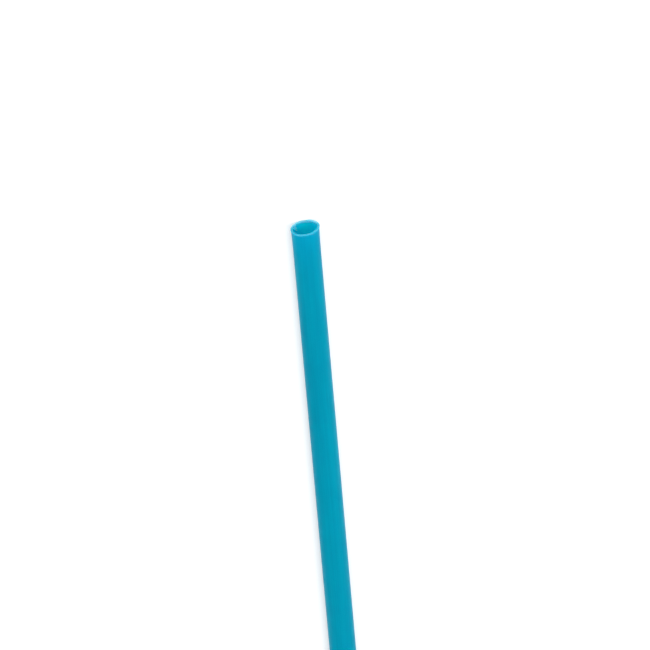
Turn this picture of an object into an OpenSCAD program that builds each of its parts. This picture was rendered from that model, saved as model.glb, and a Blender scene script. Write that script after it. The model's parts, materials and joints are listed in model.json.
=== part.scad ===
// Straight drinking straw: a thin plastic tube, extruded in one piece and cut to length.
// It lies on its side along X. The drinking end is at +X and the table is at Z = 0.

/* [Tube] */
// Length from tip to tip
straw_length = 210; // [120:1:300]
// Outside diameter
outer_diameter = 6; // [4:0.5:12]
// Thickness of the wall
wall = 0.3; // [0.15:0.05:0.6]
// Width of the slight flat that the haul-off belt leaves along the underside
belt_flat = 1.3; // [1:0.1:1.8]

/* [Cut ends] */
// Angle by which the knife cuts out of square
cut_skew = 5; // [0:0.5:12]

/* [Hidden] */
$fn = 96;

// The bore that is left inside the wall
bore_diameter = outer_diameter - 2 * wall;
outer_radius = outer_diameter / 2;
// Height of the straw's axis when it lies on its flat
axis_height = sqrt(pow(outer_radius, 2) - pow(belt_flat / 2, 2));
// Where the cut crosses the straw's axis, so that its longest side ends at the stated length
cut_centre = straw_length / 2 - outer_radius * tan(cut_skew);
// The tube comes out of the die longer than the straw, and the knife takes the rest
stock_length = straw_length + outer_diameter;
// What is cut from the stock runs past both its ends
cutter_length = stock_length + outer_diameter;
// The knife's block covers all the stock beyond a cut
knife_size = 2 * outer_diameter;

// A round bar along X, at the height of the straw's axis
module bar(diameter, length) {
    translate([0, 0, axis_height])
        rotate([0, 90, 0])
            cylinder(d = diameter, h = length, center = true);
}

// The belt presses the underside flat, down to the table's level
module belt() {
    translate([-cutter_length / 2, -outer_radius, -outer_radius])
        cube([cutter_length, outer_diameter, outer_radius]);
}

// What the knife takes off the +X end: it cuts slightly askew and leaves the tip on the -Y side
module knife() {
    translate([cut_centre, 0, axis_height])
        rotate([0, 0, cut_skew])
            translate([0, -knife_size / 2, -knife_size / 2])
                cube(knife_size);
}

// One cut ends a straw and starts the next one, so both ends are cut at the same angle
module straw() {
    color("#0096b4")
        difference() {
            bar(outer_diameter, stock_length);
            bar(bore_diameter, cutter_length);
            belt();
            for (half_turn = [0, 180])
                rotate([0, 0, half_turn])
                    knife();
        }
}

straw();
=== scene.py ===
import json
import math

import bmesh
import bpy
from mathutils import Matrix, Vector


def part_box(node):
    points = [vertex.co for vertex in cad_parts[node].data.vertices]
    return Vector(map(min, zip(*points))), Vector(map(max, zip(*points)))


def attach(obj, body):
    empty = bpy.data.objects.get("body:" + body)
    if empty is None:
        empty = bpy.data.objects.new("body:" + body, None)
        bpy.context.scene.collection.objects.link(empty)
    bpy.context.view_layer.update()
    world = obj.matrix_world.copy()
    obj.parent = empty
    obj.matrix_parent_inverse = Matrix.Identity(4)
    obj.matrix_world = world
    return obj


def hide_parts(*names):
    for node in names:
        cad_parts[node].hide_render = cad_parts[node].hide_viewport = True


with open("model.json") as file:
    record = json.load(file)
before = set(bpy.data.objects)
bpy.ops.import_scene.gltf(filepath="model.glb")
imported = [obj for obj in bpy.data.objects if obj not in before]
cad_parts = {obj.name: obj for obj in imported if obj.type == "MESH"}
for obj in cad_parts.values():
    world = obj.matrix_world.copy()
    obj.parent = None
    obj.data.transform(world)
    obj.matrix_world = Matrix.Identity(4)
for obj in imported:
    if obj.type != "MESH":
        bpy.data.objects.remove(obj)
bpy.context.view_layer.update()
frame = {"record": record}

# The tube: a straight drinking straw of polypropylene, coloured right through. It comes out of a
# ring-shaped die as one long thin tube, a belt hauls it off and leaves its underside slightly flat, and a
# knife cuts it to length a few degrees out of square. Both ends are left open, as cut.
mounts = {mount["name"]: mount for mount in frame["record"]["mounts"]}
outer_radius = mounts["outside"]["dims"]["r_mm"] / 1000
bore_radius = mounts["bore"]["dims"]["r_mm"] / 1000
axis_height = mounts["bore"]["pos_m"][2]
straw_low, straw_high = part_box("straw")
straw_length = straw_high.x - straw_low.x
stock_length = straw_length + 4 * outer_radius
cut_skew = math.radians(5)
cut_centre = straw_length / 2 - outer_radius * math.tan(cut_skew)
# The two ends: which way along X each one faces, with the normal of its cut
end_cuts = {end: Vector((end * math.cos(cut_skew), end * math.sin(cut_skew), 0)) for end in (1, -1)}
sides_round = 192
loop_spacing = 0.010


def add_open_cylinder(radius):
    """One wall of the stock as it leaves the die, longer than the straw and along X."""
    bpy.ops.object.select_all(action="DESELECT")
    bpy.ops.mesh.primitive_cylinder_add(
        vertices=sides_round,
        radius=radius,
        depth=stock_length,
        end_fill_type="NOTHING",
        location=(0, 0, axis_height),
        rotation=(0, math.pi / 2, 0),
    )
    bpy.ops.object.transform_apply(location=True, rotation=True, scale=True)
    return bpy.context.object


def select_in(piece, kind, wanted):
    """Selects the vertices, edges or faces of the piece in edit mode for which wanted is true."""
    bpy.ops.mesh.select_mode(type={"verts": "VERT", "edges": "EDGE", "faces": "FACE"}[kind])
    bpy.ops.mesh.select_all(action="DESELECT")
    mesh = bmesh.from_edit_mesh(piece.data)
    mesh.normal_update()
    for element in getattr(mesh, kind):
        element.select_set(wanted(element))
    mesh.select_flush_mode()
    bmesh.update_edit_mesh(piece.data)


straw = add_open_cylinder(outer_radius)
add_open_cylinder(bore_radius)
bpy.ops.object.mode_set(mode="EDIT")
bpy.ops.mesh.select_all(action="SELECT")
bpy.ops.mesh.flip_normals()
bpy.ops.object.mode_set(mode="OBJECT")
straw.select_set(True)
bpy.context.view_layer.objects.active = straw
bpy.ops.object.join()
straw.name = "straw_tube"
straw.data.name = "straw_tube"

# The knife's two cuts, with rings of edges behind each of them. The knife's pressure leaves each mouth
# slightly oval, which fades out along the first millimetres, and upsets the cut edge into a fine lip on
# both its sides.
mouth_rings = (0.0, 0.0003, 0.0007, 0.0013, 0.0021, 0.0032, 0.0046, 0.0064)
mouth_widening = 0.03
mouth_narrowing = 0.015
lip_height = 0.0001
lip_reach = 0.0007
tolerance = 1e-6
bpy.ops.object.mode_set(mode="EDIT")
for end, normal in end_cuts.items():
    mouth = Vector((end * cut_centre, 0, axis_height))
    for ring in mouth_rings:
        bpy.ops.mesh.select_all(action="SELECT")
        bpy.ops.mesh.bisect(plane_co=mouth - ring * normal, plane_no=normal, clear_outer=ring == 0)
    for ring in mouth_rings:
        oval = (1 - ring / mouth_rings[-1]) ** 2
        lip = lip_height * max(1 - ring / lip_reach, 0) ** 2
        for radius, lip_side in ((outer_radius, 1), (bore_radius, -1)):
            select_in(
                straw,
                "verts",
                lambda vert: abs((mouth - vert.co).dot(normal) - ring) < tolerance
                and abs(math.hypot(vert.co.y, vert.co.z - axis_height) - radius) < tolerance,
            )
            growth = lip_side * lip / radius
            bpy.ops.transform.resize(
                value=(1, 1 + growth + mouth_widening * oval, 1 + growth - mouth_narrowing * oval),
                center_override=mouth,
            )
ring_count = int((straw_length / 2 - loop_spacing) / loop_spacing)
for step in range(-ring_count, ring_count + 1):
    bpy.ops.mesh.select_all(action="SELECT")
    bpy.ops.mesh.bisect(plane_co=(step * loop_spacing, 0, axis_height), plane_no=(1, 0, 0))

# The rim of each end closes the wall between the outside and the bore
rim_loops = 2
for end in end_cuts:
    select_in(straw, "edges", lambda edge: edge.is_boundary and edge.verts[0].co.x * end > 0)
    bpy.ops.mesh.bridge_edge_loops(number_cuts=rim_loops, interpolation="LINEAR")
bpy.ops.mesh.select_all(action="SELECT")
bpy.ops.mesh.normals_make_consistent(inside=False)
rim_facing = 0.5


def on_rim(face):
    """True for a face of a cut end, which looks along the straw."""
    return abs(face.normal.dot(end_cuts[1])) > rim_facing


# The knife leaves the rim's two edges slightly rounded
rim_rounding = 0.00005
rounding_steps = 3
round_profile = 0.5
select_in(straw, "edges", lambda edge: sum(on_rim(face) for face in edge.link_faces) == 1)
bpy.ops.mesh.bevel(offset=rim_rounding, segments=rounding_steps, profile=round_profile, affect="EDGES")

# Where the knife left the drinking end, it drew a small burr out of the rim's inner edge and folded it
# inwards
burr_angle = math.radians(-25)
burr_half_width = 0.0002
burr_pull = Vector((-0.0006, -0.00065, 0.0008))
burr_softness = 0.00048
inner_edge_radius = bore_radius * (1 + mouth_widening)


def on_burr(vert):
    """True for a vertex of the rim's inner edge where the burr grows out of it."""
    behind_cut = cut_centre * end_cuts[1].x - vert.co.dot(end_cuts[1])
    height = vert.co.z - axis_height
    return (
        behind_cut < 2 * rim_rounding
        and math.hypot(vert.co.y, height) < inner_edge_radius
        and abs(math.atan2(height, vert.co.y) - burr_angle) * bore_radius < burr_half_width
    )


select_in(straw, "verts", on_burr)
bpy.ops.transform.translate(
    value=burr_pull,
    use_proportional_edit=True,
    use_proportional_connected=True,
    proportional_edit_falloff="SMOOTH",
    proportional_size=burr_softness,
)

# The belt's flat: what would hang below the table's level is pressed up to it
smooth_angle = math.radians(35)
select_in(straw, "verts", lambda vert: vert.co.z < 0)
bpy.ops.transform.resize(value=(1, 1, 0), center_override=(0, 0, 0))
bpy.ops.object.mode_set(mode="OBJECT")
bpy.ops.object.shade_smooth_by_angle(angle=smooth_angle)


def add_node(tree, kind, settings=None, **inputs):
    """Adds a shader node with its settings, and sets those of its inputs that are given by name."""
    node = tree.nodes.new(kind)
    for name, value in (settings or {}).items():
        setattr(node, name, value)
    for name, value in inputs.items():
        node.inputs[name.replace("_", " ")].default_value = value
    return node


def start_effect(name, inputs, outputs):
    """Starts a node group that finishes share: the group, its two ends and the place on the straw."""
    effect = bpy.data.node_groups.new(name, "ShaderNodeTree")
    for in_out, sockets in (("INPUT", inputs), ("OUTPUT", outputs)):
        for socket in sockets:
            effect.interface.new_socket(socket, in_out=in_out, socket_type="NodeSocketFloat")
    ends = [add_node(effect, kind) for kind in ("NodeGroupInput", "NodeGroupOutput")]
    return effect, *ends, add_node(effect, "ShaderNodeTexCoord")


# All the plastic's finishes share its pigment, which is never mixed in quite evenly: long clouds that the
# extruder draws out along the straw, and fine lines along it from the die's lips. The squeezes say how much
# slower each of them changes along the straw than across it.
pattern_squeezes = {"Cloud": 0.12, "Line": 0.01}
pigment_detail = 3
pigment_roughness = 0.55
pigment, group_in, group_out, place = start_effect(
    "drawn_pigment", inputs=("Cloud Scale", "Line Scale"), outputs=("Clouds", "Lines")
)
for pattern, squeeze in pattern_squeezes.items():
    drawn_out = add_node(pigment, "ShaderNodeMapping", Scale=(squeeze, 1, 1))
    noise = add_node(pigment, "ShaderNodeTexNoise", Detail=pigment_detail, Roughness=pigment_roughness)
    pigment.links.new(place.outputs["Object"], drawn_out.inputs["Vector"])
    pigment.links.new(drawn_out.outputs["Vector"], noise.inputs["Vector"])
    pigment.links.new(group_in.outputs[f"{pattern} Scale"], noise.inputs["Scale"])
    pigment.links.new(noise.outputs["Fac"], group_out.inputs[f"{pattern}s"])

# The knife pinches the plastic, which turns it milky next to each cut: 1 at the cut, 0 a little way behind
# it.
# Towards the rim's lower side the colour is painted paler still: painted light that stands in for light
# shining through the wall onto the lower rim.
painted_light_start = axis_height - 0.15 * outer_radius
painted_light_full = axis_height - 0.55 * outer_radius
smoothly = {"interpolation_type": "SMOOTHSTEP"}
whitening_and_painted_light, group_in, group_out, place = start_effect(
    "cut_whitening", inputs=("Reach",), outputs=("Milky", "Torn")
)
along = add_node(whitening_and_painted_light, "ShaderNodeVectorMath", {"operation": "DOT_PRODUCT"})
along.inputs[1].default_value = end_cuts[1]
either_end = add_node(whitening_and_painted_light, "ShaderNodeMath", {"operation": "ABSOLUTE"})
behind = add_node(whitening_and_painted_light, "ShaderNodeMath", {"operation": "SUBTRACT"})
behind.inputs[0].default_value = cut_centre * math.cos(cut_skew)
fading = add_node(whitening_and_painted_light, "ShaderNodeMapRange", smoothly, From_Min=0.0, To_Min=1.0, To_Max=0.0)
height = add_node(whitening_and_painted_light, "ShaderNodeSeparateXYZ")
painted_light_by_height = add_node(
    whitening_and_painted_light,
    "ShaderNodeMapRange",
    smoothly,
    From_Min=painted_light_full,
    From_Max=painted_light_start,
    To_Min=1.0,
    To_Max=0.0,
)
painted_light_mask = add_node(whitening_and_painted_light, "ShaderNodeMath", {"operation": "MULTIPLY"})
whitening_and_painted_light.links.new(place.outputs["Object"], along.inputs[0])
whitening_and_painted_light.links.new(along.outputs["Value"], either_end.inputs[0])
whitening_and_painted_light.links.new(either_end.outputs["Value"], behind.inputs[1])
whitening_and_painted_light.links.new(behind.outputs["Value"], fading.inputs["Value"])
whitening_and_painted_light.links.new(group_in.outputs["Reach"], fading.inputs["From Max"])
whitening_and_painted_light.links.new(fading.outputs["Result"], group_out.inputs["Milky"])
whitening_and_painted_light.links.new(place.outputs["Object"], height.inputs["Vector"])
whitening_and_painted_light.links.new(height.outputs["Z"], painted_light_by_height.inputs["Value"])
whitening_and_painted_light.links.new(fading.outputs["Result"], painted_light_mask.inputs[0])
whitening_and_painted_light.links.new(painted_light_by_height.outputs["Result"], painted_light_mask.inputs[1])
whitening_and_painted_light.links.new(painted_light_mask.outputs["Value"], group_out.inputs["Torn"])

cut_edge_colour = (0.06, 0.43, 0.62)
# The palest rim colour, at the rim's lower side, is painted light rather than a colour of the plastic
painted_light_edge_colour = (0.28, 0.68, 0.92)
# Clouds and lines added up where the pigment is thickest and thinnest, and the usual range of the lines
pigment_thickest, pigment_thinnest = 0.7, 1.3
line_low, line_high = 0.3, 0.7
# The milky edge is patchy, and fainter where the lines are low
patch_low, patch_high = 0.35, 0.65
faintest_patch = 0.55
# How far red, green and blue light spread in the wall: the pigment lets hardly any red through
light_spread = (0.02, 0.9, 1.0)
in_colour = {"data_type": "RGBA"}


def plastic(
    name, thin, thick, light_depth, gloss, line_height, cloud_scale, line_scale, specular, milky_reach
):
    """Translucent blue polypropylene: its colour from thin to thick pigment, and how smooth its skin is."""
    material = bpy.data.materials.new(name)
    material.use_nodes = True
    tree = material.node_tree
    skin = tree.nodes["Principled BSDF"]
    streaks = add_node(
        tree, "ShaderNodeGroup", {"node_tree": pigment}, Cloud_Scale=cloud_scale, Line_Scale=line_scale
    )
    pinch_and_painted_light = add_node(tree, "ShaderNodeGroup", {"node_tree": whitening_and_painted_light}, Reach=milky_reach)
    both = add_node(tree, "ShaderNodeMath", {"operation": "ADD"})
    spread = add_node(tree, "ShaderNodeMapRange", From_Min=pigment_thickest, From_Max=pigment_thinnest)
    tint = add_node(tree, "ShaderNodeMix", in_colour, A=(*thick, 1), B=(*thin, 1))
    tree.links.new(streaks.outputs["Clouds"], both.inputs[0])
    tree.links.new(streaks.outputs["Lines"], both.inputs[1])
    tree.links.new(both.outputs["Value"], spread.inputs["Value"])
    tree.links.new(spread.outputs["Result"], tint.inputs["Factor"])
    patchy = add_node(
        tree,
        "ShaderNodeMapRange",
        From_Min=patch_low,
        From_Max=patch_high,
        To_Min=faintest_patch,
        To_Max=1.0,
    )
    milky = add_node(tree, "ShaderNodeMath", {"operation": "MULTIPLY"})
    # The cut's colour, turning to the painted light towards the rim's lower side
    edge = add_node(tree, "ShaderNodeMix", in_colour, A=(*cut_edge_colour, 1), B=(*painted_light_edge_colour, 1))
    pinched_and_painted_light = add_node(tree, "ShaderNodeMix", in_colour)
    tree.links.new(streaks.outputs["Lines"], patchy.inputs["Value"])
    tree.links.new(pinch_and_painted_light.outputs["Milky"], milky.inputs[0])
    tree.links.new(patchy.outputs["Result"], milky.inputs[1])
    tree.links.new(pinch_and_painted_light.outputs["Torn"], edge.inputs["Factor"])
    tree.links.new(milky.outputs["Value"], pinched_and_painted_light.inputs["Factor"])
    tree.links.new(tint.outputs["Result"], pinched_and_painted_light.inputs["A"])
    tree.links.new(edge.outputs["Result"], pinched_and_painted_light.inputs["B"])
    tree.links.new(pinched_and_painted_light.outputs["Result"], skin.inputs["Base Color"])
    rough = add_node(
        tree,
        "ShaderNodeMapRange",
        From_Min=line_low,
        From_Max=line_high,
        To_Min=gloss[0],
        To_Max=gloss[1],
    )
    relief = add_node(tree, "ShaderNodeBump", Strength=1.0, Distance=line_height)
    tree.links.new(streaks.outputs["Lines"], rough.inputs["Value"])
    tree.links.new(rough.outputs["Result"], skin.inputs["Roughness"])
    tree.links.new(streaks.outputs["Lines"], relief.inputs["Height"])
    tree.links.new(relief.outputs["Normal"], skin.inputs["Normal"])
    skin.inputs["Subsurface Weight"].default_value = 1.0
    skin.inputs["Subsurface Radius"].default_value = light_spread
    skin.inputs["Subsurface Scale"].default_value = light_depth
    skin.inputs["Specular IOR Level"].default_value = specular
    return material


drawn_skin = plastic(
    "drawn_blue_plastic",
    thin=(0.0, 0.33, 0.50),
    thick=(0.0, 0.275, 0.435),
    light_depth=0.0015,
    gloss=(0.28, 0.36),
    line_height=0.000002,
    cloud_scale=160,
    line_scale=3000,
    specular=0.025,
    milky_reach=0.0006,
)
# The mouth's light fades along the bore, and further in, more of the light comes through the wall: how far
# behind the cut each stretch of the bore starts, and how deep light goes into the wall there
bore_stretches = {"mouth": (0.0, 0.0004), "throat": (mouth_rings[-1], 0.0010), "deep": (0.012, 0.0018)}
# The bore is the same plastic as the outside, but its colour is painted far paler: painted light that
# stands in for the light coming through the wall into the bore
bore_skins_painted_pale = {
    start: plastic(
        f"{stretch}_blue_plastic",
        thin=(0.0, 0.72, 0.90),
        thick=(0.0, 0.66, 0.84),
        light_depth=light_depth,
        gloss=(0.4, 0.5),
        line_height=0.000004,
        cloud_scale=160,
        line_scale=2400,
        specular=0.05,
        milky_reach=0.0009,
    )
    for stretch, (start, light_depth) in bore_stretches.items()
}
cut_skin = plastic(
    "cut_blue_plastic",
    thin=cut_edge_colour,
    thick=(0.03, 0.37, 0.55),
    light_depth=0.0010,
    gloss=(0.45, 0.6),
    line_height=0.00001,
    cloud_scale=900,
    line_scale=5000,
    specular=0.2,
    milky_reach=0.0003,
)
wall_middle = (outer_radius + bore_radius) / 2


def in_bore(face, start):
    """True for a face inside the middle of the wall and further behind its cut than start."""
    middle = face.calc_center_median()
    behind_cut = cut_centre * end_cuts[1].x - abs(middle.dot(end_cuts[1]))
    inside = math.hypot(middle.y, middle.z - axis_height) < wall_middle
    return inside and behind_cut > start and not on_rim(face)


def put_on(skin, wanted):
    """Gives the wanted faces of the straw a finish of their own."""
    straw.data.materials.append(skin)
    straw.active_material_index = len(straw.data.materials) - 1
    select_in(straw, "faces", wanted)
    bpy.ops.object.material_slot_assign()


bpy.ops.object.mode_set(mode="EDIT")
put_on(drawn_skin, lambda face: True)
# The bore's stretches get their finishes with the painted-pale colour
for start, bore_skin_painted_pale in bore_skins_painted_pale.items():
    put_on(bore_skin_painted_pale, lambda face: in_bore(face, start))
put_on(cut_skin, on_rim)
bpy.ops.object.mode_set(mode="OBJECT")
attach(straw, "root")
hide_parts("straw")

# The floor: a plain white table that the straw lies on. It takes the straw's shadow, and where nothing
# shades it the camera sees it as white.
floor_size = 6
floor_white = 0.8
floor_roughness = 0.9
bpy.ops.object.select_all(action="DESELECT")
bpy.ops.mesh.primitive_plane_add(size=floor_size)
floor = bpy.context.object
floor.name = "floor"
floor_skin = bpy.data.materials.new("white_floor")
floor_skin.use_nodes = True
floor_tree = floor_skin.node_tree
floor_bsdf = floor_tree.nodes["Principled BSDF"]
floor_bsdf.inputs["Base Color"].default_value = (floor_white, floor_white, floor_white, 1)
floor_bsdf.inputs["Roughness"].default_value = floor_roughness
floor_bsdf.inputs["Specular IOR Level"].default_value = 0.0
floor.data.materials.append(floor_skin)


def seen_rays(tree):
    """A value that is 1 for what the camera sees straight, mirrored or through something clear."""
    path = add_node(tree, "ShaderNodeLightPath")
    total = path.outputs["Is Camera Ray"]
    for ray in ("Is Glossy Ray", "Is Transmission Ray"):
        either = add_node(tree, "ShaderNodeMath", {"operation": "MAXIMUM"})
        tree.links.new(total, either.inputs[0])
        tree.links.new(path.outputs[ray], either.inputs[1])
        total = either.outputs["Value"]
    return total


floor_lift = 0.35
lift = add_node(floor_tree, "ShaderNodeEmission", Color=(1, 1, 1, 1))
lifted = add_node(floor_tree, "ShaderNodeMath", {"operation": "MULTIPLY"})
lifted.inputs[1].default_value = floor_lift
whole = add_node(floor_tree, "ShaderNodeAddShader")
floor_tree.links.new(seen_rays(floor_tree), lifted.inputs[0])
floor_tree.links.new(lifted.outputs["Value"], lift.inputs["Strength"])
floor_tree.links.new(floor_bsdf.outputs["BSDF"], whole.inputs[0])
floor_tree.links.new(lift.outputs["Emission"], whole.inputs[1])
floor_tree.links.new(whole.outputs["Shader"], floor_tree.nodes["Material Output"].inputs["Surface"])

# The light: an even white room with two large soft lamps. One hangs over the straw to the right of the
# picture, and one stands lower in front of the drinking end and lights the mouth.
room_light = 0.65
world = bpy.data.worlds.new("white_room")
bpy.context.scene.world = world
world.use_nodes = True
room = world.node_tree
room_even = room.nodes["Background"]
room_even.inputs["Color"].default_value = (1, 1, 1, 1)
room_even.inputs["Strength"].default_value = room_light
room_seen = add_node(room, "ShaderNodeBackground", Color=(1, 1, 1, 1), Strength=1.0)
room_mix = add_node(room, "ShaderNodeMixShader")
room.links.new(seen_rays(room), room_mix.inputs["Fac"])
room.links.new(room_even.outputs["Background"], room_mix.inputs[1])
room.links.new(room_seen.outputs["Background"], room_mix.inputs[2])
room.links.new(room_mix.outputs["Shader"], room.nodes["World Output"].inputs["Surface"])

lamp_size = 1.0
lamp_aim = Vector((0.03, 0, 0))
lamps = {
    "high_lamp": {"place": Vector((0.30, -0.60, 1.50)), "energy": 9},
    "mouth_lamp": {"place": Vector((1.35, 0.10, 0.95)), "energy": 9},
}
for name, lamp in lamps.items():
    bpy.ops.object.light_add(type="AREA", location=lamp["place"])
    soft_lamp = bpy.context.object
    soft_lamp.name = name
    soft_lamp.data.shape = "DISK"
    soft_lamp.data.size = lamp_size
    soft_lamp.data.energy = lamp["energy"]
    soft_lamp.rotation_euler = (lamp_aim - lamp["place"]).to_track_quat("-Z", "Y").to_euler()

# The camera: it looks down on the straw from the drinking end, turned so that this end is at the top of the
# picture, and it stands where the mouth falls on the same place of the picture as in the photograph
picture_size = 650
mouth_in_picture = (305.0, 227.5)
camera_distance = 1.25
camera_lens = 322.5
sensor_width = 36
camera_elevation = math.radians(55.7)
camera_roll = math.radians(5.05)
forward = Vector((-math.cos(camera_elevation), 0, -math.sin(camera_elevation)))
level_up = Vector((math.sin(camera_elevation), 0, -math.cos(camera_elevation)))
level_right = forward.cross(level_up)
right = math.cos(camera_roll) * level_right - math.sin(camera_roll) * level_up
up = math.sin(camera_roll) * level_right + math.cos(camera_roll) * level_up
pixel = sensor_width / camera_lens / picture_size * camera_distance
mouth = Vector((cut_centre, 0, axis_height))
across = (mouth_in_picture[0] - picture_size / 2) * pixel
above = (picture_size / 2 - mouth_in_picture[1]) * pixel
camera_place = mouth - across * right - above * up - camera_distance * forward
camera_turn = Matrix((right, up, -forward)).transposed().to_4x4()
bpy.ops.object.camera_add()
camera = bpy.context.object
camera.name = "camera"
camera.data.lens = camera_lens
camera.data.sensor_width = sensor_width
camera.matrix_world = Matrix.Translation(camera_place) @ camera_turn
bpy.context.scene.camera = camera
bpy.context.scene.view_settings.view_transform = "Standard"
